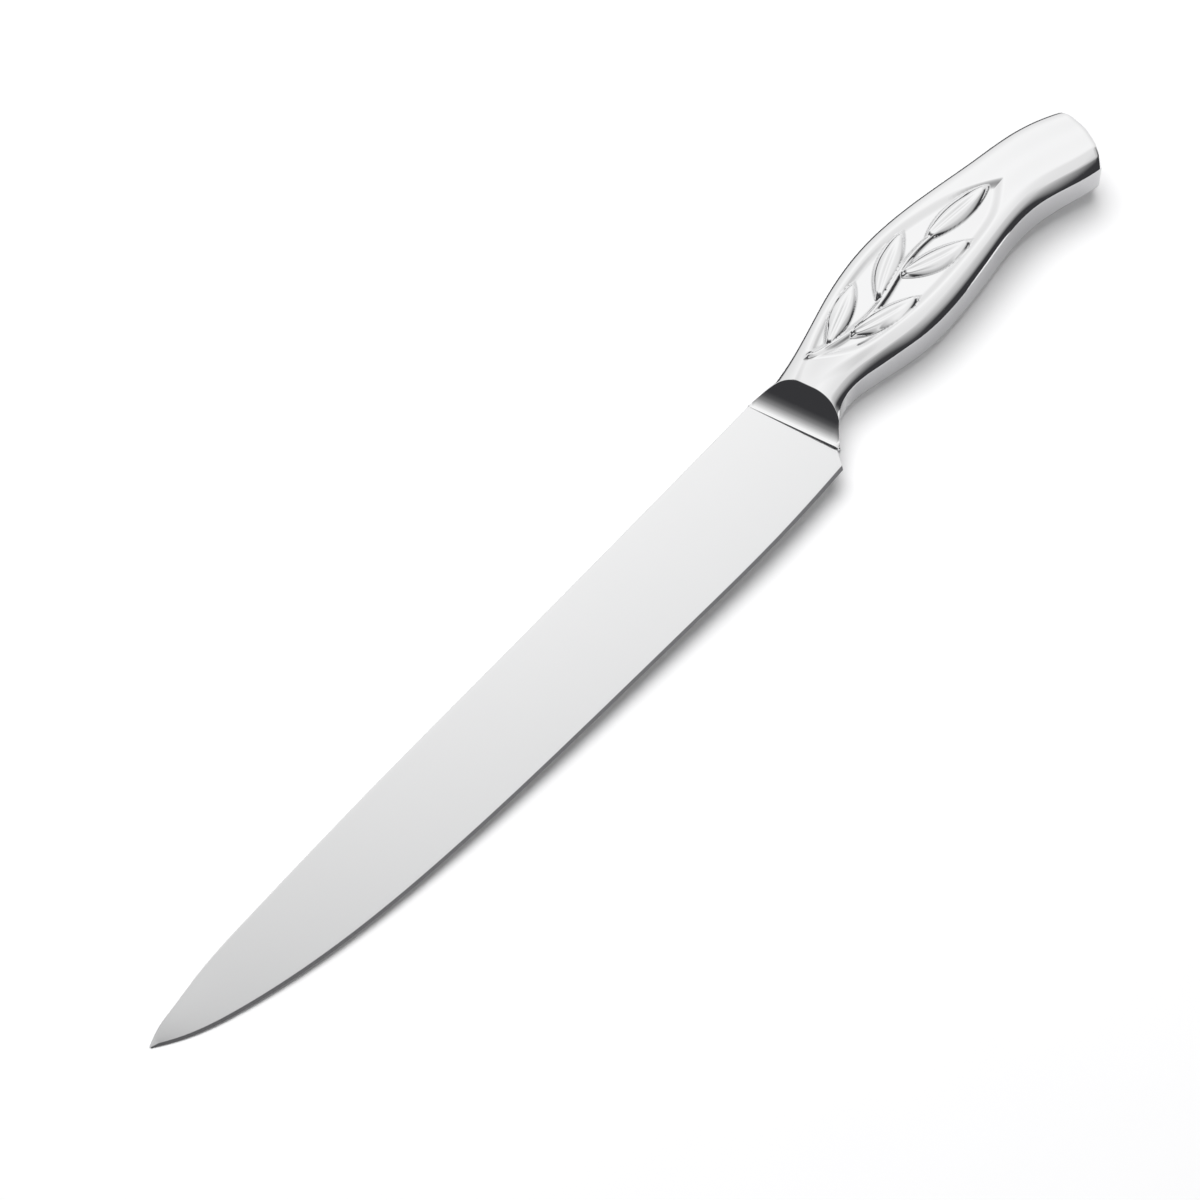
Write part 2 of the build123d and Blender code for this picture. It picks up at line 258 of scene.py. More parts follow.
def handleSteel():
    # the meshes carry hollow, which is 1 deep beside the carving and takes painted shade, and side, which is
    # 1 on the sides, brushed and painted darker as shade
    material, tree, shader = newMaterial("handleSteel", {"Metallic": 1.0})
    place = objectPlace(tree)
    cloud = noise(place, polish["cloudScale"], detail=3.0, roughness=0.55)
    hairlines = noise(stretched(place, polish["hairlineScale"], polish["hairlineTurn"]), 1.0, roughness=0.7)
    hollow = addNode(tree, "ShaderNodeAttribute", {"attribute_name": "hollow", "output": "Fac"})
    side = addNode(tree, "ShaderNodeAttribute", {"attribute_name": "side", "output": "Fac"})
    # painted shade: darkens the colour in the carving's hollows and beside its raised edges
    hollowShade = place.node("ShaderNodeMapRange", {"interpolation_type": "SMOOTHSTEP"},
                         Value=hollow + (cloud - 0.5) * polish["hollowShadeSpread"],
                         _1=polish["hollowShadeFrom"], _2=polish["hollowShadeFull"])
    # the sides' darker colour is painted shade; their added roughness is the brushing's own
    beforeHollowShade = mixColour(side, mixColour(cloud, polish["cloudy"], polish["bright"]), polish["brushedAndShaded"])
    feed(shader, "Base Color", mixColour(hollowShade, beforeHollowShade, polish["hollowShade"]))
    streaks = (hairlines - polish["hairlineMean"]) * polish["roughnessSpread"]
    matter = hollowShade * polish["hollowRoughness"] + side * polish["brushedRoughness"]
    feed(shader, "Roughness", streaks + matter + polish["roughness"])
    feed(shader, "Normal", bumpFrom(hairlines, polish["hairlineDepth"], polish["hairlineStrength"]))
    return material


def pinSteel():
    colour = turnedSteel["colour"] + (1.0,)
    material, tree, shader = newMaterial("pinSteel", {"Metallic": 1.0, "Base Color": colour})
    lines = noise(stretched(objectPlace(tree), turnedSteel["lineScale"]), 1.0)
    feed(shader, "Roughness", lines * turnedSteel["roughnessSpread"] + turnedSteel["roughness"])
    return material


def beddingResin():
    material, tree, shader = newMaterial("beddingResin", {"Roughness": resinLook["roughness"]})
    place = objectPlace(tree)
    cloud = noise(place, resinLook["cloudScale"], detail=4.0)
    feed(shader, "Base Color", mixColour(cloud, resinLook["deep"], resinLook["pale"]))
    grain = noise(place, resinLook["grainScale"])
    feed(shader, "Normal", bumpFrom(grain, resinLook["grainDepth"], resinLook["grainStrength"]))
    return material


bladeMaterial = bladeSteel()
edgeMaterial = edgeSteelShaded()
handleMaterial = handleSteel()
pinMaterial = pinSteel()
resinMaterial = beddingResin()
print("materials made")


# Smooth lines through the stations

def curveThrough(rows, column):
    # natural cubic through the rows: column against the first column
    at = np.array([row[0] for row in rows], float)
    value = np.array([row[column] for row in rows], float)
    step = np.diff(at)
    count = len(at)
    matrix = np.eye(count)
    right = np.zeros(count)
    for i in range(1, count - 1):
        matrix[i, i - 1:i + 2] = step[i - 1], 2 * (step[i - 1] + step[i]), step[i]
        right[i] = 3 * ((value[i + 1] - value[i]) / step[i] - (value[i] - value[i - 1]) / step[i - 1])
    second = np.linalg.solve(matrix, right)
    third = np.diff(second) / (3 * step)
    first = np.diff(value) / step - step * (2 * second[:-1] + second[1:]) / 3

    def curve(place):
        place = np.asarray(place, float)
        i = np.clip(np.searchsorted(at, place) - 1, 0, count - 2)
        t = place - at[i]
        return value[i] + t * (first[i] + t * (second[i] + t * third[i]))
    return curve


def ease(value):
    t = np.clip(value, 0.0, 1.0)
    return t * t * (3 - 2 * t)


def bendBetween(first, corner, last, t):
    return first * (1 - t) ** 2 + corner * 2 * t * (1 - t) + last * t ** 2


# Sizes that the blade and the handle share
knife = {
    "tipX": -173.7,
    "spineY": 11.4,
    "middleZ": 8.0,
    "seamX": 53.1,             # seam of blade and nose block, at the spine
    "seamLean": 4.9 / 24.6,    # how far it runs towards the butt for each step down
    "seamAhead": 0.83,         # how far the groove lies from that line, towards the tip
    "seamFoot": (57.2, -13.4),
    "bladeLength": 228.0,
    "bladeHeight": 30.4,
    "handleLength": 120.6,
}
seamAngle = math.atan(knife["seamLean"])


def finishMesh(name, points, faces, materials, materialIndex=None, **marks):
    # points are in millimetres; marks become attributes of the mesh that the materials read
    faces = [[int(v) for i, v in enumerate(face) if v != face[i - 1]] for face in faces]
    mesh = bpy.data.meshes.new(name)
    mesh.from_pydata((np.asarray(points) * mm).tolist(), [], faces)
    for material in materials:
        mesh.materials.append(material)
    if materialIndex is not None:
        mesh.polygons.foreach_set("material_index", np.asarray(materialIndex, dtype=np.int32))
    for mark, values in marks.items():
        attribute = mesh.attributes.new(mark, "FLOAT", "POINT")
        attribute.data.foreach_set("value", np.asarray(values, dtype=np.float32))
    welded = bmesh.new()
    welded.from_mesh(mesh)
    bmesh.ops.remove_doubles(welded, verts=welded.verts, dist=weldDistance)
    bmesh.ops.dissolve_degenerate(welded, dist=flatDistance, edges=welded.edges)
    bmesh.ops.recalc_face_normals(welded, faces=welded.faces)
    openEdges = sum(1 for edge in welded.edges if len(edge.link_faces) != 2)
    welded.to_mesh(mesh)
    welded.free()
    piece = bpy.data.objects.new(name, mesh)
    scene.collection.objects.link(piece)
    print(f"{name}: {len(mesh.polygons)} faces, {openEdges} open edges")
    return piece


def shadeByAngle(piece, degrees):
    mesh = piece.data
    mesh.polygons.foreach_set("use_smooth", np.ones(len(mesh.polygons), dtype=bool))
    mesh.set_sharp_from_angle(angle=math.radians(degrees))


# Blade: ground plate, thinner towards the edge and the tip, with its tang

bladeShape = {
    # place, spine drop, edge drop as shares of the blade's length and height, half thickness at the spine
    # and at the shoulder in millimetres
    "stations": [
        (0.000, 0.158, 0.178, 0.180, 0.100), (0.022, 0.102, 0.286, 0.432, 0.120),
        (0.044, 0.077, 0.372, 0.540, 0.120), (0.088, 0.033, 0.493, 0.624, 0.120),
        (0.175, 0.000, 0.658, 0.720, 0.120), (0.351, -0.016, 0.837, 0.852, 0.120),
        (0.548, -0.008, 0.923, 0.978, 0.120), (0.746, 0.000, 0.977, 1.072, 0.170),
        (0.899, 0.002, 1.000, 1.149, 0.226), (1.030, 0.003, 0.965, 1.213, 0.330),
    ],
    "bevelHeight": 0.9,
    "tipBevelShare": 0.33,
    "spineEase": 0.30,       # rounding of the spine's corners, at most this share of the half thickness
    "spineEaseShare": 0.45,
    "edgeFlat": 0.02,
    "leanStart": -70.0,      # behind this, the mesh's rows turn to meet the seam and the heel
    "heelRun": 3.7,          # the heel's line, from the seam's foot forwards and down
    "heelRise": 5.1,
    "rowsAhead": 150,
    "rowsBehind": 110,
    "rowCrowd": 1.25,        # power that crowds the rows towards the tip
    "flankSplit": 0.833,     # share of the flank from which its columns stand closer
    "flankColumns": (15, 5),
    "settlingRounds": 8,     # in which a row's turn and the outline's height there agree
    "sharpAngle": 25,
}
tang = {
    "length": 68.0,
    "rootWidth": 13.0,
    "endWidth": 9.0,
    "halfThickness": 1.2,
    "rootDrop": 8.6,         # from the straight spine to the tang's middle line
    "endDrop": 7.4,
}


def bladeEnd(y):
    # X of the plate's rear outline: along the seam, then forwards to the heel corner
    footX, footY = knife["seamFoot"]
    groove = knife["seamX"] - knife["seamAhead"] / math.cos(seamAngle)
    seam = groove + knife["seamLean"] * (knife["spineY"] - y)
    heel = footX - bladeShape["heelRun"] * (footY - y) / bladeShape["heelRise"]
    return np.where(y < footY, heel, seam)


def makeBlade():
    shape = bladeShape
    stations = [(knife["tipX"] + s[0] * knife["bladeLength"],) + s[1:] for s in shape["stations"]]
    spineDrop, edgeDrop, spineHalf, shoulderHalf = [curveThrough(stations, c) for c in (1, 2, 3, 4)]
    way = np.linspace(0, 1, shape["rowsAhead"], endpoint=False) ** shape["rowCrowd"]
    ahead = knife["tipX"] + (shape["leanStart"] - knife["tipX"]) * way
    behind = np.linspace(shape["leanStart"], knife["seamX"], shape["rowsBehind"])
    row = np.concatenate([ahead, behind])[:, None]
    lean = ease((row - shape["leanStart"]) / (knife["seamX"] - shape["leanStart"]))
    # columns: how far from spine to shoulder, and how far on to the edge
    split = shape["flankSplit"]
    wide, narrow = shape["flankColumns"]
    flank = np.concatenate([np.linspace(0, split, wide), np.linspace(split, 1.0, narrow)[1:]])
    kind = [("spine", 0.0)] + [("ease", t) for t in (0.0, 0.25, 0.5, 0.75, 1.0)]
    kind += [("flank", t) for t in flank[1:]] + [("bevel", 0.5), ("bevel", 1.0), ("edge", 0.0)]
    xs, ys, zs = [], [], []
    for part, t in kind:
        x = row.copy()
        for _ in range(shape["settlingRounds"]):
            top = knife["spineY"] - spineDrop(x) * knife["bladeHeight"]
            edge = knife["spineY"] - edgeDrop(x) * knife["bladeHeight"]
            bevel = np.minimum(shape["bevelHeight"], shape["tipBevelShare"] * (top - edge))
            shoulder = edge + bevel
            halfTop, halfShoulder = spineHalf(x), shoulderHalf(x)
            corner = np.minimum(shape["spineEase"], shape["spineEaseShare"] * halfTop)
            flankTop = top - corner
            if part == "spine":
                y, z = top, top * 0
            elif part == "ease":
                y = bendBetween(top, top, flankTop, t)
                z = bendBetween(halfTop - corner, halfTop, halfTop, t)
            elif part == "flank":
                y = flankTop + (shoulder - flankTop) * t
                z = halfTop + (halfShoulder - halfTop) * t
            elif part == "bevel":
                y = shoulder + (edge - shoulder) * t
                z = halfShoulder + (shape["edgeFlat"] - halfShoulder) * t
            else:
                y, z = edge, edge * 0
            x = row + lean * (bladeEnd(y) - knife["seamX"])
        xs.append(x)
        ys.append(y)
        zs.append(z)
    x, y, z = [np.concatenate(part, axis=1) for part in (xs, ys, zs)]
    front = np.stack([x, y, knife["middleZ"] + z], -1)
    back = np.stack([x, y, knife["middleZ"] - z], -1)[:, -2:0:-1]
    grid = np.concatenate([front, back], axis=1)
    rows, columns = grid.shape[:2]
    points = grid.reshape(-1, 3)
    index = np.arange(rows * columns).reshape(rows, columns)
    last = len(kind) - 1
    bevelFrom = last - 3               # the shoulder's column; the bevel's two and the edge follow
    faces, use = [], []                # use is 0 for satin steel and 1 for the ground bevel with its painted dark reflection
    for j in range(columns):
        k = (j + 1) % columns
        near = j if j < last else columns - 1 - j
        quads = np.stack([index[:-1, j], index[1:, j], index[1:, k], index[:-1, k]], 1)
        faces += quads.tolist()
        use += [1 if near >= bevelFrom else 0] * (rows - 1)
    for r in (0, rows - 1):            # strips across the tip and across the rear
        for j in range(last):
            mirrorJ, mirrorK = (columns - j) % columns, columns - j - 1
            faces.append([index[r, j], index[r, j + 1], index[r, mirrorK], index[r, mirrorJ]])
            use.append(0)
    # tang, in the nose block's slot and the handle's bedding
    base = len(points)
    rootTop, rootFoot = tang["rootDrop"] - tang["rootWidth"] / 2, tang["rootDrop"] + tang["rootWidth"] / 2
    endX = knife["seamX"] + tang["length"]
    outline = [
        (knife["seamX"] + knife["seamLean"] * rootTop, knife["spineY"] - rootTop),
        (knife["seamX"] + knife["seamLean"] * rootFoot, knife["spineY"] - rootFoot),
        (endX, knife["spineY"] - tang["endDrop"] - tang["endWidth"] / 2),
        (endX, knife["spineY"] - tang["endDrop"] + tang["endWidth"] / 2),
    ]
    half = tang["halfThickness"]
    plate = [(px, py, knife["middleZ"] + side * half) for side in (1, -1) for px, py in outline]
    points = np.concatenate([points, np.array(plate)])
    faces.append([base + i for i in (0, 1, 2, 3)])
    faces.append([base + i for i in (7, 6, 5, 4)])
    for i in range(4):
        k = (i + 1) % 4
        faces.append([base + i, base + i + 4, base + k + 4, base + k])
    use += [0] * 6
    piece = finishMesh("blade_plate", points, faces, [bladeMaterial, edgeMaterial], use)
    shadeByAngle(piece, shape["sharpAngle"])
    return piece


bladePlate = makeBlade()
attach(bladePlate, "root")
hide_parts("blade")


# Handle: outlines and sections

handleShape = {
    # place along the handle, spine side above the straight spine and belly side below it as shares of
    # crestRise and bellyDrop, half thickness
    "stations": [
        (-0.060, 0.060, 1.820, 5.00), (-0.012, 0.000, 1.460, 5.32), (0.035, -0.048, 1.150, 5.75),
        (0.076, -0.024, 0.941, 6.15), (0.109, 0.030, 0.824, 6.48), (0.150, 0.135, 0.774, 6.88),
        (0.195, 0.292, 0.788, 7.28), (0.241, 0.480, 0.842, 7.60), (0.291, 0.680, 0.909, 7.82),
        (0.341, 0.838, 0.964, 7.92), (0.398, 0.956, 0.994, 7.97), (0.458, 1.000, 0.999, 7.99),
        (0.500, 0.980, 0.992, 8.00), (0.550, 0.910, 0.975, 7.99), (0.605, 0.790, 0.946, 7.97),
        (0.660, 0.643, 0.913, 7.93), (0.721, 0.470, 0.896, 7.86), (0.770, 0.340, 0.912, 7.81),
        (0.820, 0.220, 0.955, 7.74), (0.886, 0.010, 1.037, 7.66), (0.952, -0.350, 1.113, 7.59),
        (1.035, -1.050, 1.150, 7.52),
    ],
    "crestRise": 7.6,
    "bellyDrop": 22.1,
    # place along the handle, then for the spine side: rounding across, rounding down, power of its curve,
    # swell of the outline; then for the belly side: rounding across, half height of the side below it, swell,
    # how far the rounding turns into two flat facets
    "roundings": [
        (-0.06, 11.0, 4.70, 1.6, 0.45, 9.5, 2.4, -0.45, 0.0),
        (0.03, 10.5, 5.30, 1.4, 0.45, 9.0, 2.8, -0.50, 0.0),
        (0.10, 7.2, 5.70, 1.1, 0.35, 7.4, 3.4, -0.55, 0.2),
        (0.17, 5.4, 5.10, 1.0, 0.22, 6.0, 3.9, -0.60, 0.5),
        (0.22, 4.8, 4.80, 1.0, 0.18, 5.6, 4.0, -0.65, 0.8),
        (0.306, 4.8, 4.80, 1.0, 0.18, 5.9, 4.4, -0.40, 0.8),
        (0.39, 4.9, 4.90, 1.0, 0.20, 6.7, 4.5, -0.40, 0.3),
        (0.47, 4.9, 4.90, 1.0, 0.20, 6.6, 4.7, -0.20, 0.1),
        (0.555, 4.8, 4.80, 1.0, 0.18, 6.0, 5.0, 0.15, 0.0),
        (0.72, 4.7, 4.70, 1.0, 0.16, 5.2, 5.2, 0.42, 0.2),
        (0.80, 4.9, 4.90, 1.0, 0.20, 5.2, 4.7, 0.25, 0.6),
        (0.886, 5.2, 5.20, 1.0, 0.31, 4.8, 4.0, -0.50, 1.0),
        (1.00, 5.6, 5.60, 1.0, 0.40, 4.7, 3.8, -0.50, 1.0),
        (1.06, 5.6, 5.60, 1.0, 0.40, 4.7, 3.8, -0.50, 1.0),
    ],
    # the facets' slope in degrees against the share of the way round
    "facetSlope": [(0, 0), (0.12, 29), (0.44, 34), (0.50, 49), (1, 57)],
    "sideTilt": 1.6,         # least slope at which the belly's rounding meets the side
    "sideTiltNarrow": 2.35,  # the same where the rounding is narrow, times its depth over its width
    "wallLeast": 0.3,        # upright strip at the mid-plane
    "crown": 0.35,           # swell of the top between its roundings
    "crownFrom": 0.10,       # shares of the handle's length over which it comes in
    "crownFull": 0.30,
    "roundingsMost": 0.96,   # share of the width that both roundings may take together
    "settlingRounds": 10,    # in which a section's end and the outline's height there agree
    "jointDistance": 13.0,   # nose block's length, square to the seam
    "buttX": 174.94,         # butt's line carried up to the straight spine
    "buttLean": -0.2886,     # its slope, measured as the seam's
    "buttBow": 1.93,         # how far its middle stands out
    "buttRounding": 2.0,
    "buttRows": 6,
    "shellWall": 1.8,
    "cavityShort": 0.4,      # further steel between the cavity and the butt
    "brushedAndShadedOver": 9.0,      # length behind the joint over which the sides turn from polished to brushed and painted darker as shade
    # cells on the spine's wall and rounding, the top, the belly's rounding and wall
    "columns": (5, 20, 60, 30, 5),
    "wallCrowd": 1.5,        # power that crowds the cells on the walls and on the belly's rounding
    "rowStep": 0.27,         # as far as the carving reaches
    "plainStep": 0.6,
    "reliefEnd": 148.0,
    "cavityCell": 8,         # outer cells to one of the cavity's
    "sharpAngle": 75,
}
jointX = knife["seamX"] + handleShape["jointDistance"] / math.cos(seamAngle)


def alongHandle(table):
    return [(knife["seamX"] + row[0] * knife["handleLength"],) + row[1:] for row in table]


handleStations = alongHandle(handleShape["stations"])
handleRoundings = alongHandle(handleShape["roundings"])
spineRise, bellyFall, halfThick = [curveThrough(handleStations, c) for c in (1, 2, 3)]
spineAcross, spineDown, spinePower, spineSwell, bellyAcross, bellyWall, bellySwell, bellyFacet = [
    curveThrough(handleRoundings, c) for c in range(1, 9)]

# the belly's two soft facets, as a way down and across that a rounding can turn into
facetWay = np.linspace(0, 1, 101)
facetTurn = np.radians(np.interp(facetWay, *zip(*handleShape["facetSlope"])))
facetAcross = np.cumsum(np.cos(facetTurn)) - 1
facetDown = np.cumsum(np.sin(facetTurn))
facetAcross, facetDown = facetAcross / facetAcross[-1], facetDown / facetDown[-1]


def spineSide(x):
    return knife["spineY"] + spineRise(x) * handleShape["crestRise"] + spineSwell(x)


def bellySide(x):
    return knife["spineY"] - bellyFall(x) * handleShape["bellyDrop"] + bellySwell(x)


columnKinds = []
for part, cells in zip(("spineWall", "spineRound", "top", "bellyRound", "bellyWall"), handleShape["columns"]):
    columnKinds += [(part, i / cells) for i in range(cells)]
columnKinds.append(("bellyWall", 1.0))
columnCount = len(columnKinds)


def skin(row, lean, bow, column, inset=0.0):
    # Points of the handle's outer form. row is X where the section's line meets the straight spine's line,
    # lean is that line's slope, bow how far its middle stands out towards the butt. The last value returned
    # is 1 where the surface looks up and 0 on the sides.
    shape = handleShape
    spineX = row + lean * 0
    bellyX = row + lean * shape["bellyDrop"]
    for _ in range(shape["settlingRounds"]):
        ySpine = spineSide(spineX)
        spineX = row + lean * (knife["spineY"] - ySpine)
        yBelly = bellySide(bellyX)
        bellyX = row + lean * (knife["spineY"] - yBelly)
    centreX = (spineX + bellyX) / 2
    half = halfThick(centreX) - inset
    ySpine = spineSide(spineX) - inset
    yBelly = bellySide(bellyX) + inset
    width = ySpine - yBelly
    acrossSpine, acrossBelly = spineAcross(centreX), bellyAcross(centreX)
    crowd = np.minimum(1.0, shape["roundingsMost"] * width / (acrossSpine + acrossBelly))
    acrossSpine, acrossBelly = acrossSpine * crowd, acrossBelly * crowd
    downSpine = np.minimum(spineDown(centreX), half - shape["wallLeast"])
    wall = bellyWall(centreX)
    downBelly = half - wall
    tilt = np.maximum(shape["sideTilt"], shape["sideTiltNarrow"] * downBelly / acrossBelly)
    endCosine = 1 / (tilt * acrossBelly / downBelly - 1)
    endTurn = np.arccos(endCosine)
    power = spinePower(centreX)
    along = (centreX - knife["seamX"]) / knife["handleLength"]
    crown = shape["crown"] * ease((along - shape["crownFrom"]) / (shape["crownFull"] - shape["crownFrom"]))
    part, t = columnKinds[column]
    turn = t * math.pi / 2
    up = 1.0
    if part == "spineWall":
        y, z, up = ySpine, (half - downSpine) * (1 - (1 - t) ** shape["wallCrowd"]), 0.0
    elif part == "spineRound":
        y = ySpine - acrossSpine * (1 - math.cos(turn))
        z = half - downSpine + downSpine * math.sin(turn) ** power
        up = math.sin(turn)
    elif part == "top":
        y = ySpine - acrossSpine + (acrossSpine + acrossBelly - width) * t
        z = half + crown * (1 - math.cos(2 * math.pi * t)) / 2
    elif part == "bellyRound":
        bend = (1 - (1 - t) ** shape["wallCrowd"]) * endTurn
        facet = np.clip(bellyFacet(centreX), 0, 1)
        flatAcross, flatDown = np.interp(t, facetWay, facetAcross), np.interp(t, facetWay, facetDown)
        wayAcross = np.sin(bend) / np.sin(endTurn) * (1 - facet) + flatAcross * facet
        wayDown = (1 - np.cos(bend)) / (1 - endCosine) * (1 - facet) + flatDown * facet
        y = yBelly + acrossBelly * (1 - wayAcross)
        z = half - downBelly * wayDown
        up = math.cos(turn)
    else:
        y, z, up = yBelly, wall * (1 - t ** shape["wallCrowd"]), 0.0
    across = 1 - 2 * (ySpine - y) / width
    x = row + lean * (knife["spineY"] - y) + bow * (1 - across ** 2)
    return x, y, z, up


# Carving: a sunk panel with a leafy sprig standing in it, level with the steel round it

sprig = {
    # outline of the panel from its front point along the spine side and back along the belly side
    "panelUpper": [
        (69.0, 7.4), (76.0, 10.2), (85.0, 12.6), (99.0, 14.8),
        (113.0, 14.8), (125.0, 12.6), (136.0, 9.0), (146.0, 2.6),
    ],
    "panelLower": [
        (69.0, 7.4), (76.0, 0.8), (85.0, -3.6), (99.0, -5.8),
        (113.0, -6.0), (125.0, -5.1), (136.0, -3.1), (146.0, 2.6),
    ],
    "panelPoints": 60,
    "panelDepth": 1.05,
    "panelSlope": 3.0,       # width of the panel's soft border
    "stem": [(70.0, 7.3), (79.0, 4.2), (89.0, 2.6), (99.0, 3.6), (109.0, 5.6), (119.0, 5.6), (128.0, 4.0)],
    "stemPoints": 70,
    "stemHalf": 1.35,
    "stemTaper": (1.1, 0.65),    # at its foot and at its end
    "stemRise": 0.95,
    "stemPower": 0.9,
    # foot, point, then how far the left and the right side bulge, as shares of the leaf's length
    "leaves": [
        ((75.0, 5.0), (96.0, 12.0), 0.12, 0.14),
        ((81.0, 3.2), (103.5, -3.4), 0.10, 0.15),
        ((94.0, 3.4), (116.3, 12.2), 0.17, 0.10),
        ((103.5, 4.8), (125.7, -2.8), 0.10, 0.17),
        ((116.5, 6.2), (141.5, 4.0), 0.14, 0.12),
    ],
    "leafRise": 1.55,
    "leafPower": 0.72,       # fullness of its dome
    "leafEnds": 9.0,         # the higher, the sooner a leaf stands up behind its foot and point
    "leafCurl": 0.35,        # how far one half of a leaf dips and the other stands up
    "ribDepth": 0.42,
    "ribHalf": 0.55,
    "ribEnd": 0.92,          # shares of the leaf's length where the rib ends and over which it fades
    "ribFade": 0.35,
    "sprigBorder": 1.2,      # distance from the panel's outline over which the sprig comes in
    "hollowReach": 0.6,      # how far the painted shade spreads from the sprig's edge
    "hollowBorder": 1.5,
    "hollowMost": 0.45,
    "turnedFrom": 0.35,      # the carving fades in from this upward share of the surface's direction
    "turnedOver": 0.5,
}


def alongLine(px, py, line):
    # nearest place on a polyline: share of its length, distance to the left, distance
    line = np.asarray(line, float)
    a, b = line[:-1], line[1:]
    d = b - a
    length = np.hypot(d[:, 0], d[:, 1])
    start = np.concatenate([[0], np.cumsum(length)])
    best = np.full(px.shape, 1e9)
    share = np.zeros(px.shape)
    left = np.zeros(px.shape)
    for i in range(len(a)):
        rx, ry = px - a[i, 0], py - a[i, 1]
        t = np.clip((rx * d[i, 0] + ry * d[i, 1]) / length[i] ** 2, 0, 1)
        ox, oy = rx - t * d[i, 0], ry - t * d[i, 1]
        distance = np.hypot(ox, oy)
        near = distance < best
        side = np.sign(d[i, 0] * oy - d[i, 1] * ox)
        best = np.where(near, distance, best)
        share = np.where(near, (start[i] + t * length[i]) / start[-1], share)
        left = np.where(near, side * distance, left)
    return share, left, best


def smoothLine(points, count):
    places = [(i,) + tuple(p) for i, p in enumerate(points)]
    at = np.linspace(0, len(points) - 1, count)
    return np.stack([curveThrough(places, 1)(at), curveThrough(places, 2)(at)], 1)


def leafArc(offset, chord, bulge):
    # how far an arc stands from the chord; bulge is its height in the middle
    height = abs(bulge) * chord
    radius = (chord ** 2 / 4 + height ** 2) / (2 * height)
    return math.copysign(1, bulge) * (np.sqrt(np.maximum(radius ** 2 - offset ** 2, 0)) - (radius - height))


def carve(px, py):
    # height above the plain form, and how hollow each place is
    _, leftUpper, farUpper = alongLine(px, py, smoothLine(sprig["panelUpper"], sprig["panelPoints"]))
    _, leftLower, farLower = alongLine(px, py, smoothLine(sprig["panelLower"], sprig["panelPoints"]))
    inPanel = (leftUpper < 0) & (leftLower > 0)
    border = np.where(inPanel, np.minimum(farUpper, farLower), 0)
    ground = -sprig["panelDepth"] * ease(border / sprig["panelSlope"])
    share, _, distance = alongLine(px, py, smoothLine(sprig["stem"], sprig["stemPoints"]))
    atFoot, atEnd = sprig["stemTaper"]
    half = sprig["stemHalf"] * (atFoot + (atEnd - atFoot) * share)
    inside = np.clip(1 - distance / half, 0, 1)
    rise = sprig["stemRise"] * ease(inside) ** sprig["stemPower"]
    gap = distance - half
    for foot, point, bulgeLeft, bulgeRight in sprig["leaves"]:
        foot, point = np.array(foot), np.array(point)
        chord = np.hypot(*(point - foot))
        along = (point - foot) / chord
        offset = (px - foot[0]) * along[0] + (py - foot[1]) * along[1] - chord / 2
        across = (py - foot[1]) * along[0] - (px - foot[0]) * along[1]
        share = offset / chord + 0.5
        upper, lower = leafArc(offset, chord, bulgeLeft), -leafArc(offset, chord, bulgeRight)
        middle, half = (upper + lower) / 2, np.maximum((upper - lower) / 2, 1e-3)
        left = (across - middle) / half
        inLeaf = (np.abs(left) < 1) & (share > 0) & (share < 1)
        inside = np.where(inLeaf, (1 - np.abs(left)) * half, 0)
        dome = np.clip(1 - left ** 2, 0, 1) ** sprig["leafPower"]
        ribbed = np.exp(-((across - middle) / sprig["ribHalf"]) ** 2)
        ribbed = ribbed * ease((sprig["ribEnd"] - share) / sprig["ribFade"])
        curl = sprig["leafCurl"] * left * np.sin(math.pi * share)
        leaf = dome * (sprig["leafRise"] + curl) * ease(share * (1 - share) * sprig["leafEnds"])
        leaf = leaf - sprig["ribDepth"] * ribbed * dome
        over = inLeaf & (leaf > rise)
        rise = np.where(over, leaf, rise)
        besideLeaf = np.maximum(np.abs(across - middle) - half, 0)
        beyond = np.hypot(besideLeaf, np.maximum(np.abs(offset) - chord / 2, 0))
        gap = np.minimum(gap, np.where(inLeaf, -inside, beyond))
    height = ground + rise * ease(border / sprig["sprigBorder"])
    # painted shade beside the sprig's edges, carried as hollow
    hollow = np.exp(-(gap / sprig["hollowReach"]) ** 2) * ease(border / sprig["hollowBorder"])
    return height, hollow * sprig["hollowMost"]


def buttwards(row):
    return ease((row - jointX) / (handleShape["buttX"] - jointX))


def leanAt(row):
    return knife["seamLean"] + (handleShape["buttLean"] - knife["seamLean"]) * buttwards(row)


def bowAt(row):
    return handleShape["buttBow"] * buttwards(row) ** 2


def skinGrid(rows, columns, carved, inset=0.0):
    # the form's points as rows by columns, and how hollow each place is
    rows = np.asarray(rows, float)
    lean, bow = leanAt(rows), bowAt(rows)
    layers = [skin(rows, lean, bow, j, inset) for j in columns]
    x, y, z = [np.stack([layer[i] + rows * 0 for layer in layers], 1) for i in range(3)]
    hollow = np.zeros(x.shape)
    if carved:
        up = np.array([layer[3] for layer in layers])[None, :]
        height, hollow = carve(x, y)
        weight = ease((up - sprig["turnedFrom"]) / sprig["turnedOver"])
        z = z + height * weight
        hollow = hollow * weight
    return np.stack([x, y, z], -1), hollow


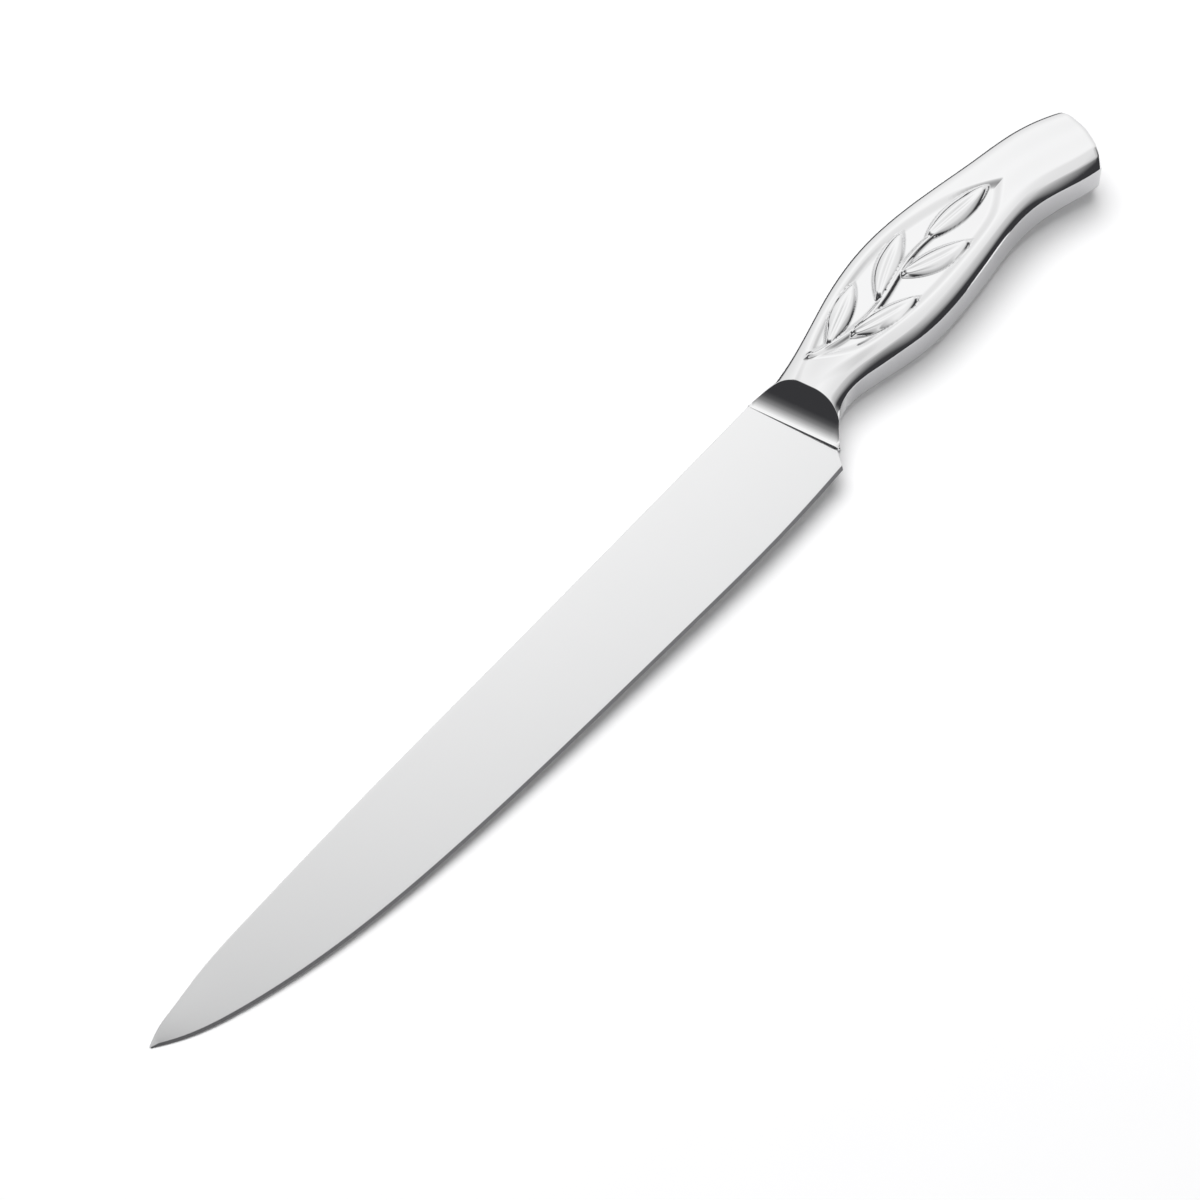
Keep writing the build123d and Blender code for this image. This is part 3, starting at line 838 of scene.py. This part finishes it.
def makeShell(name, side):
    # side is 1 for the half above the mid-plane and -1 for the half below
    shape = handleShape
    lastRow = shape["buttX"] - shape["buttRounding"]
    reliefEnd = shape["reliefEnd"]
    fine = np.linspace(jointX, reliefEnd, int((reliefEnd - jointX) / shape["rowStep"]))
    plain = np.linspace(reliefEnd, lastRow, int((lastRow - reliefEnd) / shape["plainStep"]))[1:]
    rows = np.concatenate([fine, plain])
    # the rows are spread again so that the cavity's wider cells fit in a whole number of times
    coarse = shape["cavityCell"]
    cells = math.ceil((len(rows) - 1) / coarse) * coarse
    rows = np.interp(np.linspace(0, 1, cells + 1), np.linspace(0, 1, len(rows)), rows)
    outer, hollow = skinGrid(rows, range(columnCount), True)
    # rounded corner at the butt, then the end face down to the mid-plane
    extra = []
    for turn in np.linspace(0, math.pi / 2, shape["buttRows"] + 1)[1:]:
        pull = shape["buttRounding"] * (1 - math.cos(turn))
        push = shape["buttRounding"] * math.sin(turn)
        ring, _ = skinGrid([lastRow + push], range(columnCount), False)
        ring = ring[0]
        flat = outer[-1]
        thickness = np.max(flat[:, 2])
        centreY = (ring[0, 1] + ring[-1, 1]) / 2
        halfWidth = (ring[0, 1] - ring[-1, 1]) / 2
        ring[:, 2] *= (thickness - pull) / thickness
        newY = centreY + (ring[:, 1] - centreY) * (halfWidth - pull) / halfWidth
        slope = leanAt(np.array([lastRow + push]))[0]
        ring[:, 0] += slope * (ring[:, 1] - newY)
        ring[:, 1] = newY
        extra.append(ring)
    rim = extra[-1]
    wallCells = shape["columns"][-1]
    rimRow = len(rows) - 1 + len(extra)
    for step in range(1, wallCells + 1):
        ring = rim.copy()
        ring[:, 2] *= 1 - (step / wallCells) ** shape["wallCrowd"]
        extra.append(ring)
    outer = np.concatenate([outer, np.array(extra)])
    hollow = np.concatenate([hollow, np.zeros((len(extra), columnCount))])
    # cavity, in wider cells
    innerColumns = list(range(0, columnCount, coarse))
    innerRows = rows[::coarse].copy()
    innerRows[-1] = shape["buttX"] - shape["shellWall"] - shape["cavityShort"]
    inner, _ = skinGrid(innerRows, innerColumns, False, shape["shellWall"])
    endRing = inner[-1].copy()
    endRing[:, 2] = 0
    inner = np.concatenate([inner, endRing[None]])
    outer[:, [0, -1], 2] = 0
    inner[:, [0, -1], 2] = 0
    points = np.concatenate([outer.reshape(-1, 3), inner.reshape(-1, 3)])
    isWall = np.array([part in ("spineWall", "bellyWall") for part, _ in columnKinds], float)
    # mask of the sides, for their brushing and their painted shade
    brushedAndShaded = ease((outer[:, :, 0] - jointX) / shape["brushedAndShadedOver"]) * isWall
    brushedAndShaded[rimRow + 1:] = 0
    outerIndex = np.arange(len(outer) * columnCount).reshape(len(outer), columnCount)
    innerIndex = outerIndex.size + np.arange(inner.shape[0] * inner.shape[1]).reshape(inner.shape[:2])
    brushedAndShaded = np.concatenate([brushedAndShaded.reshape(-1), np.zeros(innerIndex.size)])
    hollow = np.concatenate([hollow.reshape(-1), np.zeros(innerIndex.size)])
    # outer form, end face within its walls, cavity
    faces = []
    endFace = outerIndex[rimRow:, wallCells:-wallCells]
    for index, flip in ((outerIndex[:rimRow + 1], False), (endFace, False), (innerIndex, True)):
        quads = np.stack([index[:-1, :-1], index[1:, :-1], index[1:, 1:], index[:-1, 1:]], -1).reshape(-1, 4)
        faces += (quads[:, ::-1] if flip else quads).tolist()
    # ring in the joint plane, then the rim in the mid-plane, along both sides and across the butt
    for k in range(len(innerColumns) - 1):
        span = outerIndex[0, innerColumns[k]:innerColumns[k + 1] + 1].tolist()
        faces.append(span + [innerIndex[0, k + 1], innerIndex[0, k]])
    for outerColumn, innerColumn in ((0, 0), (columnCount - 1, len(innerColumns) - 1)):
        for k in range(len(innerRows) - 1):
            stop = rimRow if k == len(innerRows) - 2 else (k + 1) * coarse
            span = outerIndex[k * coarse:stop + 1, outerColumn].tolist()
            faces.append(span + [innerIndex[k + 1, innerColumn], innerIndex[k, innerColumn]])
    for k in range(len(innerColumns) - 1):
        span = outerIndex[-1, innerColumns[k]:innerColumns[k + 1] + 1].tolist()
        faces.append(span + [innerIndex[-1, k + 1], innerIndex[-1, k]])
    points[:, 2] = knife["middleZ"] + side * points[:, 2]
    piece = finishMesh(name, points, faces, [handleMaterial], hollow=hollow, side=brushedAndShaded)
    shadeByAngle(piece, shape["sharpAngle"])
    return piece


frontShell = makeShell("front_shell_carved", 1)
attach(frontShell, "root")
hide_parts("handle_front_shell")

backShell = makeShell("back_shell_carved", -1)
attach(backShell, "root")
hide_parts("handle_back_shell")


# Nose block: the handle's form from the seam to the joint, hollowed by a scallop on each face

nose = {
    "faceHalf": 1.25,        # half thickness of its front face, just over the blade's
    "scallopRadius": 11.9,
    "rimEase": 0.16,
    "outerRows": 34,
    "scallopRows": 26,
    "halvings": 40,          # to find where the scallop leaves the outer form
    "sharpAngle": 40,
}


def scallopHeight(distance):
    return nose["faceHalf"] + nose["scallopRadius"] - np.sqrt(nose["scallopRadius"] ** 2 - distance ** 2)


def noseSkin(distance, column):
    row = knife["seamX"] + distance / math.cos(seamAngle)
    x, y, z, _ = skin(row, knife["seamLean"] + row * 0, row * 0, column)
    return np.stack([x + row * 0, y + row * 0, z + row * 0], -1)


def makeNose():
    length = handleShape["jointDistance"]
    columns = []
    for j in range(columnCount):
        front = -knife["seamAhead"]
        low, high = front, length
        if noseSkin(np.array([front]), j)[0, 2] > nose["faceHalf"]:
            for _ in range(nose["halvings"]):
                middle = (low + high) / 2
                if noseSkin(np.array([middle]), j)[0, 2] > scallopHeight(middle - front):
                    low = middle
                else:
                    high = middle
        arc = low
        reach = arc - front
        easeBy = min(nose["rimEase"], reach / 2)
        back = noseSkin(arc + easeBy + (length - arc - easeBy) * np.linspace(1, 0, nose["outerRows"] + 1), j)
        corner = noseSkin(np.array([arc]), j)[0]
        ahead = np.linspace(easeBy, reach, nose["scallopRows"] + 1)
        floor = np.stack([
            corner[0] - ahead * math.cos(seamAngle), corner[1] - ahead * math.sin(seamAngle),
            np.minimum(scallopHeight(reach - ahead), corner[2]) if reach > 0 else corner[2] + ahead * 0,
        ], -1)
        rim = [bendBetween(back[-1], corner, floor[0], t) for t in (0.25, 0.5, 0.75)]
        columns.append(np.concatenate([back, np.array(rim), floor]))
    half = np.array(columns)                     # column, row, place
    half[0, :, 2] = 0
    half[-1, :, 2] = 0
    mirrored = half[-2:0:-1] * np.array([1, 1, -1])
    ring = np.concatenate([half, mirrored])
    count, rows = ring.shape[:2]
    points = ring.reshape(-1, 3)
    index = np.arange(count * rows).reshape(count, rows)
    following = np.roll(index, -1, axis=0)
    quads = np.stack([index[:, :-1], index[:, 1:], following[:, 1:], following[:, :-1]], -1).reshape(-1, 4)
    faces = quads.tolist()
    for r in (0, rows - 1):                      # across the joint and across the face at the seam
        for j in range(columnCount - 1):
            mirrorJ, mirrorK = (count - j) % count, (count - j - 1) % count
            faces.append([index[j, r], index[j + 1, r], index[mirrorK, r], index[mirrorJ, r]])
    points = points + np.array([0, 0, knife["middleZ"]])
    plain = np.zeros(len(points))
    piece = finishMesh("nose_scalloped", points, faces, [handleMaterial], hollow=plain, side=plain)
    shadeByAngle(piece, nose["sharpAngle"])
    return piece


noseBlock = makeNose()
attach(noseBlock, "root")
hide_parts("bolster")


# Pieces inside the handle keep their CAD form

innerPieces = {
    "tang_pin_front": pinMaterial,
    "tang_pin_rear": pinMaterial,
    "tang_potting": resinMaterial,
}
for nodeName, material in innerPieces.items():
    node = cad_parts[nodeName]
    node.data.materials.clear()
    node.data.materials.append(material)
print("inner pieces finished")


# Table, surround and light

table = {
    "restX": 113.0,          # the handle's thickest place, which rests on the table
    "tipRestZ": 7.80,        # the tip's height, to which the table leans
    "size": 8.0,
    "colour": (0.85, 0.85, 0.855),
    "grainScale": 35.0,
    "grainShade": 0.985,
    "lift": 0.07,            # added where the camera or polished steel sees the table
    "farLift": 0.80,         # the same beyond the lamp's reach
    "farFrom": 0.6,          # distances in metres
    "farFull": 2.6,
}
surround = {
    "radius": 3.4,
    "tone": (0.040, 0.040, 0.043),
    # middle direction in degrees from +X, half spread, soft ends, then how dark at which elevation
    "flags": [
        (-75.0, 60.0, 20.0, [(-3, 1.0), (20, 1.0), (25, 0.8), (32, 0.55), (44, 0.4), (50, 0.22), (58, 0.0)]),
        (75.0, 50.0, 20.0, [(-3, 1.0), (7, 1.0), (11, 0.4), (16, 0.0)]),
    ],
    # how dark the flag over the blade is, by how far steel tips towards the knife's tip to mirror it
    "overBlade": [(1, 0.0), (4, 0.22), (8, 0.52), (13, 0.79), (19, 0.95), (25, 1.0)],
    "overBladeSpan": (175.0, 40.0, 18.0),     # middle direction, half spread and soft end, in degrees
    "overBladeTop": (48.0, 14.0),             # elevation from which it goes all the way round, and soft end
    # how much the light box falls off, by how far steel tips any way to mirror it
    "fallOff": [(5, 0.0), (12, 0.07), (20, 0.15), (32, 0.22)],
    "fallOffFoot": (1.0, 6.0),                # elevation and soft end
    "steps": (2.5, 1.0),                      # of its grid, round and up, in degrees
    "lowest": -3.0,
}
studio = {
    "roomLight": 0.23,
    "keyPlace": (0.27, 0.44, 1.40),
    "keySize": 1.6,
    "keyPower": 28.6,
}


def stageMaterial(name):
    material = bpy.data.materials.new(name)
    material.use_nodes = True
    tree = material.node_tree
    tree.nodes.clear()
    return material, tree, tree.nodes.new("ShaderNodeOutputMaterial")


def seenDirectly(tree):
    # 1 for rays from the camera and for rays by way of metal or glass
    path = tree.nodes.new("ShaderNodeLightPath")
    camera = Socket(tree, path.outputs["Is Camera Ray"])
    glossy = Socket(tree, path.outputs["Is Glossy Ray"])
    clear = Socket(tree, path.outputs["Is Transmission Ray"])
    return camera.maths("MAXIMUM", camera.maths("MAXIMUM", camera, glossy), clear)


def makeTable():
    material, tree, output = stageMaterial("paleTable")
    place = objectPlace(tree)
    grain = noise(place, table["grainScale"], detail=3.0)
    shaded = tuple(part * table["grainShade"] for part in table["colour"])
    colour = mixColour(grain, shaded, table["colour"])
    matte = addNode(tree, "ShaderNodeBsdfDiffuse", None, Color=colour)
    distance = place.node("ShaderNodeVectorMath", {"operation": "LENGTH", "output": "Value"}, _0=place)
    far = place.node("ShaderNodeMapRange", {"interpolation_type": "SMOOTHSTEP"}, Value=distance,
                     _1=table["farFrom"], _2=table["farFull"], _3=table["lift"], _4=table["farLift"])
    glow = addNode(tree, "ShaderNodeEmission", None, Color=(1, 1, 1, 1), Strength=seenDirectly(tree) * far)
    both = addNode(tree, "ShaderNodeAddShader", None, _0=matte, _1=glow)
    tree.links.new(both.output, output.inputs["Surface"])
    half = table["size"] / 2
    slope = table["tipRestZ"] / (knife["tipX"] - table["restX"])
    square = [(-half, -half), (half, -half), (half, half), (-half, half)]
    corners = [(x, y, slope * (x - table["restX"] * mm)) for x, y in square]
    mesh = bpy.data.meshes.new("table")
    mesh.from_pydata(corners, [], [(0, 1, 2, 3)])
    mesh.materials.append(material)
    floor = bpy.data.objects.new("table", mesh)
    scene.collection.objects.link(floor)


def skyward(azimuth, elevation):
    turn, lift = np.radians(azimuth), np.radians(elevation)
    return np.stack([np.cos(lift) * np.cos(turn), np.cos(lift) * np.sin(turn), np.sin(lift)], -1)


def within(azimuth, middle, spread, soft):
    # 1 inside the spread round the middle direction, softly down to 0 at its ends
    away = np.abs((azimuth - middle + 180) % 360 - 180)
    return 1 - ease((away - spread + soft) / soft)


def flagShade(azimuth, elevation):
    # facing is the direction in which level steel must be tipped to mirror a place to the photograph's camera
    facing = skyward(azimuth, elevation) - np.array(viewLine)
    facing /= np.linalg.norm(facing, axis=-1, keepdims=True)
    tipwards = np.degrees(np.arctan2(-facing[..., 0], facing[..., 2]))
    tipped = np.degrees(np.arccos(np.clip(facing[..., 2], -1, 1)))
    foot, soft = surround["fallOffFoot"]
    dark = np.interp(tipped, *zip(*surround["fallOff"])) * ease((elevation - foot) / soft)
    top, soft = surround["overBladeTop"]
    reach = np.maximum(within(azimuth, *surround["overBladeSpan"]), ease((elevation - top) / soft))
    dark = np.maximum(dark, np.interp(tipwards, *zip(*surround["overBlade"])) * reach)
    for middle, spread, soft, profile in surround["flags"]:
        flag = within(azimuth, middle, spread, soft) * np.interp(elevation, *zip(*profile))
        dark = np.maximum(dark, flag)
    return dark


def makeSurround():
    # grey flags round the set, far outside the view, seen only by way of the steel
    material, tree, output = stageMaterial("greyFlags")
    shade = addNode(tree, "ShaderNodeAttribute", {"attribute_name": "shade", "output": "Fac"})
    dark = addNode(tree, "ShaderNodeEmission", None, Color=surround["tone"] + (1.0,), Strength=1.0)
    clear = addNode(tree, "ShaderNodeBsdfTransparent")
    mixed = addNode(tree, "ShaderNodeMixShader", None, _0=shade, _1=clear, _2=dark)
    tree.links.new(mixed.output, output.inputs["Surface"])
    stepRound, stepUp = surround["steps"]
    heights = np.arange(surround["lowest"], 90 + stepUp / 2, stepUp)
    azimuth, elevation = np.meshgrid(np.arange(0, 360, stepRound), heights, indexing="ij")
    points = skyward(azimuth, elevation) * surround["radius"]
    index = np.arange(azimuth.size).reshape(azimuth.shape)
    following = np.roll(index, -1, axis=0)
    quads = np.stack([index[:, :-1], following[:, :-1], following[:, 1:], index[:, 1:]], -1).reshape(-1, 4)
    mesh = bpy.data.meshes.new("flags")
    mesh.from_pydata(points.reshape(-1, 3).tolist(), [], quads.tolist())
    shades = mesh.attributes.new("shade", "FLOAT", "POINT")
    shades.data.foreach_set("value", flagShade(azimuth, elevation).reshape(-1))
    mesh.materials.append(material)
    flags = bpy.data.objects.new("flags", mesh)
    scene.collection.objects.link(flags)
    flags.visible_camera = False
    flags.visible_diffuse = False
    flags.visible_shadow = False
    flags.visible_transmission = False


def makeWorld():
    world = bpy.data.worlds.new("whiteRoom")
    scene.world = world
    world.use_nodes = True
    tree = world.node_tree
    tree.nodes.clear()
    output = tree.nodes.new("ShaderNodeOutputWorld")
    strength = seenDirectly(tree) * (1.0 - studio["roomLight"]) + studio["roomLight"]
    background = addNode(tree, "ShaderNodeBackground", None, Color=(1, 1, 1, 1), Strength=strength)
    tree.links.new(background.output, output.inputs["Surface"])


def makeKeyLamp():
    lampData = bpy.data.lights.new("keyLamp", "AREA")
    lampData.shape = "DISK"
    lampData.size = studio["keySize"]
    lampData.energy = studio["keyPower"]
    lamp = bpy.data.objects.new("keyLamp", lampData)
    scene.collection.objects.link(lamp)
    lamp.location = studio["keyPlace"]
    lamp.rotation_euler = (-Vector(studio["keyPlace"])).to_track_quat("-Z", "Y").to_euler()
    lamp.visible_glossy = False
    lamp.visible_camera = False


makeTable()
makeSurround()
makeWorld()
makeKeyLamp()
scene.view_settings.view_transform = "Standard"
print("table, surround and light set")
